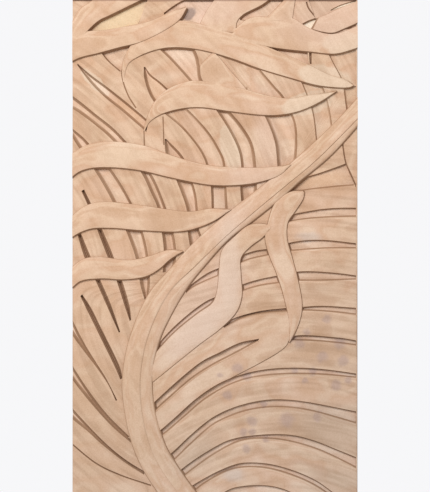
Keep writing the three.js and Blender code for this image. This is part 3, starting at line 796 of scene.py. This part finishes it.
def midrib_rows(left, ridge, right):
    """The midrib's outline at one place, as rows of (point, level) from its left foot to its right foot."""
    foot = right + (right - ridge) * MIDRIB_FOOT / np.linalg.norm(right - ridge)
    step_foot = MIDRIB_RIDGE - MIDRIB_STEP
    rows = [(left, BURIED_LEVEL), (left, MIDRIB_LEFT - ARRIS)]
    rows.append((mix(left, ridge, LEFT_BRINK[0]), MIDRIB_LEFT - ARRIS * LEFT_BRINK[1]))
    for share in RISING_SHARES:
        rise = math.sin(share * math.pi / 2)
        rows.append((mix(left, ridge, share), mix(MIDRIB_LEFT, MIDRIB_RIDGE, rise)))
    rows.append((ridge, MIDRIB_RIDGE))
    rows.append((mix(ridge, right, STEP_SHARES[0]), MIDRIB_RIDGE - MIDRIB_STEP * STEP_START))
    rows.append((mix(ridge, right, STEP_SHARES[1]), step_foot))
    for share in FALLING_SHARES:
        bow = 1 - (share - STEP_SHARES[1]) ** 2
        rows.append((mix(ridge, right, share), mix(MIDRIB_RIGHT, step_foot, bow)))
    rows.append((mix(ridge, right, RIGHT_BRINK[0]), MIDRIB_RIGHT - ARRIS * RIGHT_BRINK[1]))
    return [*rows, (right, MIDRIB_RIGHT - ARRIS), (foot, BURIED_LEVEL)]


def midrib_object():
    """The midrib: a left face that rises to the ridge, a small step, and a right face that falls away."""
    steps = math.ceil(curve_length(MIDRIB["ridge"]) / SECTION_SPACING)
    edges = [spaced_points(MIDRIB[line], steps) for line in ("left", "ridge", "right")]
    rings = []
    for left, ridge, right in zip(*edges):
        rows = midrib_rows(left, ridge, right)
        rings.append([(point[0], level, point[1]) for point, level in rows])
    return solid_object("midrib", rings)


def grid_stops(half):
    """Places of the slab's grid lines from -half to half, closer at the worn outer arris."""
    inner = np.linspace(-half + 2 * ARRIS, half - 2 * ARRIS, math.ceil(2 * half / FIELD_SPACING))
    return np.concatenate([[-half, -half + ARRIS / 2], inner, [half - ARRIS / 2, half]])


def field_level(x, z):
    """The slightly uneven field, worn down at the slab's outer arris."""
    inset = min(PANEL_WIDTH / 2 - abs(x), PANEL_HEIGHT / 2 - abs(z)) / (2 * ARRIS)
    return FIELD_LEVEL + hand_wave(x, z) - ARRIS * (1 - min(1, inset)) ** 2


def slab_object():
    """The uncarved slab: a grid over its face, and plain sides and back."""
    columns = grid_stops(PANEL_WIDTH / 2)
    rows = grid_stops(PANEL_HEIGHT / 2)
    points = [(x, -field_level(x, z), z) for z in rows for x in columns]
    wide = len(columns)
    top = wide * (len(rows) - 1)
    faces = []
    for row in range(0, top, wide):
        for here in range(row, row + wide - 1):
            faces.append((here, here + 1, here + wide + 1, here + wide))
    rim = [*range(wide - 1), *range(wide - 1, top + wide - 1, wide)]
    rim += [*range(top + wide - 1, top, -1), *range(top, 0, -wide)]
    back = len(points)
    points += [(points[i][0], 0.0, points[i][2]) for i in rim]
    for step, corner in enumerate(rim):
        after = (step + 1) % len(rim)
        faces.append((rim[after], corner, back + step, back + after))
    faces.append(tuple(range(len(points) - 1, back - 1, -1)))
    return object_from("slab", points, faces)


# Cutting and joining

def carve(target, steps):
    """Applies (operation, solid) steps to the target in their order and removes the solids."""
    for operation, solid in steps:
        modifier = target.modifiers.new(solid.name, "BOOLEAN")
        modifier.operation = operation
        modifier.solver = "MANIFOLD"
        modifier.object = solid
    graph = bpy.context.evaluated_depsgraph_get()
    carved = bpy.data.meshes.new_from_object(target.evaluated_get(graph))
    target.modifiers.clear()
    target.data = carved
    for _operation, solid in steps:
        if solid.name in bpy.data.objects:
            bpy.data.objects.remove(solid)


def drop_chips(mesh):
    """Deletes loose chips that the cutting left, and keeps the one stone."""
    stone = bmesh.new()
    stone.from_mesh(mesh)
    unseen = set(stone.verts)
    lumps = []
    while unseen:
        reached = [unseen.pop()]
        lump = []
        while reached:
            corner = reached.pop()
            lump.append(corner)
            beside = {edge.other_vert(corner) for edge in corner.link_edges} & unseen
            unseen -= beside
            reached.extend(beside)
        lumps.append(lump)
    lumps.sort(key=len)
    for chip in lumps[:-1]:
        bmesh.ops.delete(stone, geom=chip, context="VERTS")
    stone.to_mesh(mesh)
    stone.free()


def carved_panel():
    """The whole stone. Its slots run out through the left side and stop at a border on the other three."""
    inside = box_object("inside", PANEL_WIDTH, 0.0, 2 * ABOVE_ALL, PANEL_HEIGHT - 2 * BORDER_WIDTH)
    inside.location.x = -BORDER_WIDTH
    shallow = {"floor": (SHALLOW_FLOOR, SHALLOW_FLOOR)}
    cutters = [slot_object(name, {**recess, **shallow}) for name, recess in SHALLOW_RECESSES.items()]
    cutters += [slot_object(name, slot) for name, slot in SLOTS.items()]
    cutters += [groove_object(name, line, GROOVE_FLOOR) for name, line in GROOVES.items()]
    cutters += [groove_object(name, line, SHALLOW_GROOVE_FLOOR) for name, line in SHALLOW_GROOVES.items()]
    for cutter in cutters:
        clip = cutter.modifiers.new("inside", "BOOLEAN")
        clip.operation = "INTERSECT"
        clip.solver = "MANIFOLD"
        clip.object = inside
    panel = slab_object()
    leaflets = [("UNION", leaf_object(name, leaf)) for name, leaf in LAPPED_LEAFLETS.items()]
    slots = [("DIFFERENCE", cutter) for cutter in cutters]
    leaves = [("UNION", leaf_object(name, leaf)) for name, leaf in CROSSING_LEAVES.items()]
    leaves += [("UNION", midrib_object())]
    outline = box_object("outline", PANEL_WIDTH, 0.0, TOP_LEVEL, PANEL_HEIGHT)
    carve(panel, [*leaflets, *slots, *leaves, ("INTERSECT", outline)])
    bpy.data.objects.remove(inside)
    drop_chips(panel.data)
    panel.name = "carved_relief"
    panel.data.name = "carved_relief"
    panel.data.polygons.foreach_set("use_smooth", [True] * len(panel.data.polygons))
    panel.data.set_sharp_from_angle(angle=SHARP_ANGLE)
    return panel


# Materials

def new_material(name):
    material = bpy.data.materials.new(name)
    material.use_nodes = True
    return material, material.node_tree


def feed(tree, value, socket):
    """Links an output to the socket, or sets a constant on it."""
    if isinstance(value, bpy.types.NodeSocket):
        tree.links.new(value, socket)
    else:
        socket.default_value = value


def maths(tree, operation, first, second=0.0):
    node = tree.nodes.new("ShaderNodeMath")
    node.operation = operation
    feed(tree, first, node.inputs[0])
    feed(tree, second, node.inputs[1])
    return node.outputs["Value"]


def times(tree, first, second):
    return maths(tree, "MULTIPLY", first, second)


def vectors(tree, operation, first, second=(0, 0, 0)):
    node = tree.nodes.new("ShaderNodeVectorMath")
    node.operation = operation
    feed(tree, first, node.inputs[0])
    feed(tree, second, node.inputs[1])
    return node.outputs["Value" if operation == "LENGTH" else "Vector"]


def noise_node(tree, place, scale, detail=2.0, stretch=(1, 1, 1)):
    node = tree.nodes.new("ShaderNodeTexNoise")
    node.inputs["Scale"].default_value = scale
    node.inputs["Detail"].default_value = detail
    tree.links.new(vectors(tree, "MULTIPLY", place, stretch), node.inputs["Vector"])
    return node


def eased(tree, value, low, high):
    """0 below low, 1 above high, and a smooth step between them."""
    node = tree.nodes.new("ShaderNodeMapRange")
    node.interpolation_type = "SMOOTHSTEP"
    feed(tree, value, node.inputs["Value"])
    node.inputs["From Min"].default_value = low
    node.inputs["From Max"].default_value = high
    return node.outputs["Result"]


def weighed(tree, share, first, second):
    change = times(tree, maths(tree, "SUBTRACT", second, first), share)
    return maths(tree, "ADD", first, change)


def blended(tree, share, first, second, blend="MIX"):
    node = tree.nodes.new("ShaderNodeMix")
    node.data_type = "RGBA"
    node.blend_type = blend
    feed(tree, share, node.inputs[0])
    feed(tree, first, node.inputs[6])
    feed(tree, second, node.inputs[7])
    return node.outputs[2]


def colour_bands(tree, value, bands):
    node = tree.nodes.new("ShaderNodeValToRGB")
    stops = node.color_ramp.elements
    while len(stops) < len(bands):
        stops.new(0.5)
    for stop, (place, colour) in zip(stops, bands):
        stop.position = place
        stop.color = (*colour, 1)
    tree.links.new(value, node.inputs["Fac"])
    return node.outputs["Color"]


def patch_share(tree, place, patches, softness):
    """1 inside the elliptic patches and 0 away from them. A patch is the x and z of its middle, half its
    length and half its height, and its turn in degrees."""
    shares = []
    for *sizes, turn in patches:
        x, z, half_length, half_height = (size / MM_PER_METRE for size in sizes)
        node = tree.nodes.new("ShaderNodeMapping")
        node.vector_type = "TEXTURE"
        node.inputs["Location"].default_value = (x, 0, z)
        node.inputs["Rotation"].default_value = (0, -math.radians(turn), 0)
        node.inputs["Scale"].default_value = (half_length, 1, half_height)
        tree.links.new(place, node.inputs["Vector"])
        away = vectors(tree, "LENGTH", node.outputs["Vector"])
        shares.append(eased(tree, away, 1 + softness, 1 - softness))
    share = shares[0]
    for other in shares[1:]:
        share = maths(tree, "MAXIMUM", share, other)
    return share


def streak_noise(tree, place, parts):
    """Fine streaks in arcs that sweep along the leaflets on each side of the midrib."""
    flat = vectors(tree, "MULTIPLY", place, (1, 0, 1))
    x, z = parts.outputs["X"], parts.outputs["Z"]
    x_share, z_share = ACROSS_MIDRIB
    across = maths(tree, "SUBTRACT", times(tree, x, x_share), times(tree, z, z_share))
    right_side = times(tree, eased(tree, across, *BEYOND_MIDRIB), eased(tree, x, *RIGHT_OF_MIDRIB))
    lower_left = eased(tree, z, *LOWER_LEFT)
    upper, lower, right = (
        vectors(tree, "LENGTH", vectors(tree, "SUBTRACT", flat, centre)) for centre in STREAK_CENTRES
    )
    left = weighed(tree, lower_left, upper, lower)
    radius = weighed(tree, right_side, left, right)
    bent = tree.nodes.new("ShaderNodeCombineXYZ")
    tree.links.new(times(tree, radius, STREAK_FINENESS), bent.inputs["X"])
    tree.links.new(times(tree, x, STREAK_LENGTHWISE), bent.inputs["Y"])
    tree.links.new(times(tree, z, STREAK_LENGTHWISE), bent.inputs["Z"])
    return noise_node(tree, bent.outputs["Vector"], 1.0, 3.5).outputs["Fac"]


def carved_share(tree, parts, level):
    """1 on the carved face, and 0 on the back and on the four sawn sides."""
    share = eased(tree, level, *PLAIN_BACK)
    for axis, half in (("X", PANEL_WIDTH / 2), ("Z", PANEL_HEIGHT / 2)):
        away = maths(tree, "ABSOLUTE", parts.outputs[axis])
        share = times(tree, share, eased(tree, away, half, half - ARRIS))
    return share


def bedded_colour(tree, place, clouds):
    """The stone's layers, faintly clouded."""
    bedding = noise_node(tree, place, 1.0, 2.5, BEDDING_STRETCH).outputs["Fac"]
    colour = colour_bands(tree, bedding, BEDDING_BANDS)
    return blended(tree, eased(tree, clouds, *CLOUD_RANGE), colour, CLOUD_TINT, "MULTIPLY")


def with_patches(tree, colour, place, tints, region):
    """The colour with tinted areas, each within the region alone."""
    for tint, strength, softness, patches in tints:
        share = times(tree, patch_share(tree, place, patches, softness), strength)
        colour = blended(tree, times(tree, share, region), colour, (*tint, 1))
    return colour


def stained_colour(tree, colour, place, parts, level, carved):
    """Stains with ragged borders, streaks, painted light that brightens the slot floors and painted shade in
    the deepest cuts.
    """
    noise_colour = noise_node(tree, place, PATCH_WANDER_SCALE).outputs["Color"]
    wander = vectors(tree, "SUBTRACT", noise_colour, NOISE_MIDDLE)
    ragged = vectors(tree, "ADD", place, vectors(tree, "MULTIPLY", wander, (PATCH_WANDER, 0, PATCH_WANDER)))
    ragged = vectors(tree, "MULTIPLY", ragged, (1, 0, 1))
    colour = with_patches(tree, colour, ragged, COLOUR_PATCHES, carved)

    streaks = eased(tree, streak_noise(tree, place, parts), *STREAK_RANGE)
    on_field = eased(tree, level, LEAF_UPPER, FIELD_LEVEL + 2 * HAND_WAVE)
    streaks = times(tree, streaks, maths(tree, "MAXIMUM", on_field, STREAKS_ON_LEAVES))
    colour = blended(tree, times(tree, streaks, carved), colour, STREAK_TINT, "MULTIPLY")

    on_floor = eased(tree, level, SHALLOW_FLOOR, mix(SLOT_FLOOR, SHALLOW_FLOOR, FLOOR_FADE))
    on_floor = times(tree, on_floor, carved)
    # Painted light: the slot floors are brightened
    colour = blended(tree, on_floor, colour, PAINTED_FLOOR_LIGHT_TINT, "MULTIPLY")
    colour = with_patches(tree, colour, ragged, FLOOR_PATCHES, on_floor)
    # Painted shade: the deepest cuts are darkened
    painted_deep_shade = eased(tree, level, *(mix(DEEP_FLOOR, SLOT_FLOOR, share) for share in PAINTED_DEEP_SHADE_FADE))
    return blended(tree, times(tree, painted_deep_shade, carved), colour, PAINTED_DEEP_SHADE_TINT, "MULTIPLY")


def edged_colour(tree, colour, parts, clouds):
    """A greyer lower right part, and uneven brown lines along the top and right edges."""
    x, z = parts.outputs["X"], parts.outputs["Z"]
    lower_right = maths(tree, "SUBTRACT", times(tree, x, LOWER_RIGHT_LEAN), z)
    greyer = eased(tree, lower_right, *LOWER_RIGHT_RANGE)
    colour = blended(tree, greyer, colour, LOWER_RIGHT_TINT, "MULTIPLY")
    uneven = times(tree, clouds, EDGE_WANDER)
    top_line = eased(tree, maths(tree, "ADD", z, uneven), *TOP_LINE)
    colour = blended(tree, times(tree, top_line, TOP_LINE_STRENGTH), colour, EDGE_LINE_COLOUR)
    side_line = eased(tree, maths(tree, "ADD", x, uneven), *SIDE_LINE)
    side_line = times(tree, side_line, eased(tree, z, *SIDE_LINE_HEIGHTS))
    return blended(tree, times(tree, side_line, SIDE_LINE_STRENGTH), colour, EDGE_LINE_COLOUR)


def add_pits(tree, place, grain, shader):
    """The stone's fine pits and grain, as a bump."""
    bump = tree.nodes.new("ShaderNodeBump")
    bump.inputs["Strength"].default_value = PIT_STRENGTH
    bump.inputs["Distance"].default_value = PIT_DEPTH
    pits = maths(tree, "ADD", grain, noise_node(tree, place, PIT_SCALE, 3.0).outputs["Fac"])
    tree.links.new(pits, bump.inputs["Height"])
    tree.links.new(bump.outputs["Normal"], shader.inputs["Normal"])


def sandstone_material():
    """Layered sandstone: soft bands of colour that follow the depth of the cut, streaks and faint stains,
    with painted shade that makes the walls browner and darker than the rubbed faces."""
    material, tree = new_material("sandstone")
    shader = tree.nodes["Principled BSDF"]
    coordinates = tree.nodes.new("ShaderNodeTexCoord")
    place = coordinates.outputs["Object"]
    parts = tree.nodes.new("ShaderNodeSeparateXYZ")
    tree.links.new(place, parts.inputs["Vector"])
    level = times(tree, parts.outputs["Y"], -1.0)
    carved = carved_share(tree, parts, level)

    clouds = noise_node(tree, place, CLOUD_SCALE, 4.0).outputs["Fac"]
    colour = bedded_colour(tree, place, clouds)
    colour = stained_colour(tree, colour, place, parts, level, carved)
    colour = edged_colour(tree, colour, parts, clouds)
    grain = noise_node(tree, place, GRAIN_SCALE, 3.0).outputs["Fac"]
    colour = blended(tree, eased(tree, grain, *GRAIN_RANGE), colour, GRAIN_TINT, "MULTIPLY")

    facing = tree.nodes.new("ShaderNodeSeparateXYZ")
    tree.links.new(coordinates.outputs["Normal"], facing.inputs["Vector"])
    # Painted shade: steep walls are darkened towards brown by how far they face sideways
    painted_wall_shade = eased(tree, maths(tree, "ABSOLUTE", facing.outputs["Y"]), *PAINTED_WALL_SHADE_FACING)
    colour = blended(tree, times(tree, painted_wall_shade, carved), colour, PAINTED_WALL_SHADE_TINT, "MULTIPLY")
    tree.links.new(colour, shader.inputs["Base Color"])
    shader.inputs["Roughness"].default_value = STONE_ROUGHNESS
    shader.inputs["Specular IOR Level"].default_value = STONE_SPECULAR
    add_pits(tree, place, grain, shader)
    return material


def plain_material(name, colour, roughness):
    material, tree = new_material(name)
    shader = tree.nodes["Principled BSDF"]
    shader.inputs["Base Color"].default_value = (*colour, 1)
    shader.inputs["Roughness"].default_value = roughness
    return material


# Camera, light and floor

def face_point(x, z):
    return Vector((x, -FIELD_LEVEL, z))


def aim(thing, target):
    thing.rotation_euler = (target - thing.location).to_track_quat("-Z", "Y").to_euler()


def add_camera():
    data = bpy.data.cameras.new("camera")
    data.sensor_fit = "VERTICAL"
    data.sensor_height = SENSOR_HEIGHT
    data.lens = SENSOR_HEIGHT * CAMERA_DISTANCE / PICTURE_HEIGHT
    camera = bpy.data.objects.new("camera", data)
    camera.location = face_point(0, PICTURE_MIDDLE_Z) + Vector((0, -CAMERA_DISTANCE, 0))
    aim(camera, face_point(0, PICTURE_MIDDLE_Z))
    bpy.context.scene.collection.objects.link(camera)
    bpy.context.scene.camera = camera


def add_area_light(name, place, size, power, colour):
    data = bpy.data.lights.new(name, "AREA")
    data.shape = "RECTANGLE"
    data.size, data.size_y = size
    data.energy = power
    data.color = colour
    light = bpy.data.objects.new(name, data)
    light.location = place
    aim(light, face_point(0, 0))
    bpy.context.scene.collection.objects.link(light)


def add_world():
    world = bpy.data.worlds.new("studio")
    world.use_nodes = True
    tree = world.node_tree
    background = tree.nodes["Background"]
    background.inputs["Color"].default_value = (*AMBIENT_COLOUR, 1)
    background.inputs["Strength"].default_value = AMBIENT_STRENGTH
    pale = tree.nodes.new("ShaderNodeBackground")
    pale.inputs["Color"].default_value = (*BACKDROP_COLOUR, 1)
    choose = tree.nodes.new("ShaderNodeMixShader")
    seen = tree.nodes.new("ShaderNodeLightPath")
    tree.links.new(seen.outputs["Is Camera Ray"], choose.inputs["Fac"])
    tree.links.new(background.outputs["Background"], choose.inputs[1])
    tree.links.new(pale.outputs["Background"], choose.inputs[2])
    tree.links.new(choose.outputs["Shader"], tree.nodes["World Output"].inputs["Surface"])
    bpy.context.scene.world = world


def add_floor():
    mesh = bpy.data.meshes.new("floor")
    half = FLOOR_SIZE / 2
    corners = [(-half, -half), (half, -half), (half, half), (-half, half)]
    mesh.from_pydata([(x, y, FLOOR_Z) for x, y in corners], [], [(0, 1, 2, 3)])
    floor = bpy.data.objects.new("floor", mesh)
    mesh.materials.append(plain_material("pale_floor", FLOOR_COLOUR, FLOOR_ROUGHNESS))
    bpy.context.scene.collection.objects.link(floor)


bpy.context.scene.view_settings.view_transform = "Standard"
add_camera()
add_world()
add_area_light("key", KEY_PLACE, KEY_SIZE, KEY_POWER, KEY_COLOUR)
add_floor()

panel = carved_panel()
panel.data.materials.clear()
panel.data.materials.append(sandstone_material())
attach(panel, "root")
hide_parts("relief_panel")
